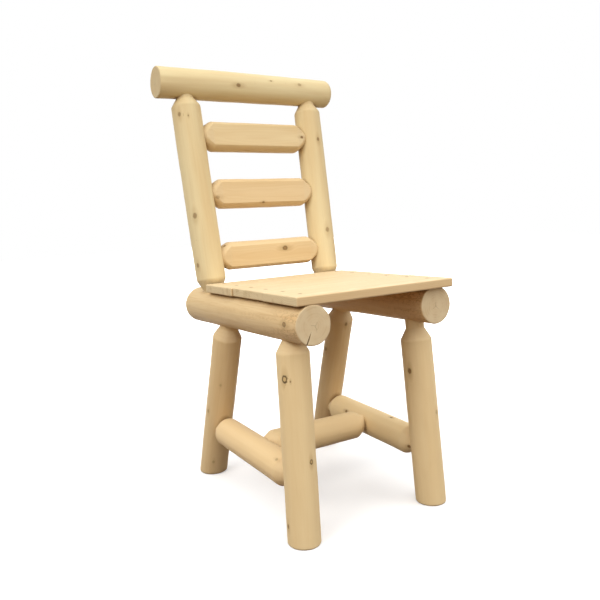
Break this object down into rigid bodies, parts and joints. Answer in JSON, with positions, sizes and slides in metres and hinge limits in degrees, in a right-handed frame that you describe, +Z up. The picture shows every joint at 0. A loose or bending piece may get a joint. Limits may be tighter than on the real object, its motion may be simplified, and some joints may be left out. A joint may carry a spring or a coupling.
{
  "type": "log dining chair",
  "caption": "Rustic dining chair of peeled cedar logs: round tenoned frame, flat board seat, crest log and flat-faced log slats in a leaning back.",
  "frame": {"origin": "floor level, under the middle of the overall box", "axes": "+Z up, the chair faces -Y, +X to the right as seen from the front"},
  "size_m": [0.4335, 0.5256, 0.9],
  "materials": {
    "peeled_cedar": "bare, peeled and smooth",
    "sawn_cedar": "bare, planed",
    "zinc_steel": "zinc plated"
  },
  "bodies": {
    "root": {"crest_log": "peeled_cedar", "left_back_post": "peeled_cedar", "right_back_post": "peeled_cedar", "upper_slat": "peeled_cedar", "middle_slat": "peeled_cedar", "lower_slat": "peeled_cedar", "left_seat_rail": "peeled_cedar", "right_seat_rail": "peeled_cedar", "front_left_leg": "peeled_cedar", "front_right_leg": "peeled_cedar", "rear_left_leg": "peeled_cedar", "rear_right_leg": "peeled_cedar", "left_stretcher": "peeled_cedar", "right_stretcher": "peeled_cedar", "cross_stretcher": "peeled_cedar", "front_seat_board": "sawn_cedar", "middle_seat_board": "sawn_cedar", "rear_seat_board": "sawn_cedar", "seat_screws": "zinc_steel", "crest_screws": "zinc_steel", "post_foot_screws": "zinc_steel", "slat_screws": "zinc_steel", "leg_screws": "zinc_steel", "side_stretcher_screws": "zinc_steel", "cross_stretcher_screws": "zinc_steel"}
  },
  "joints": []
}
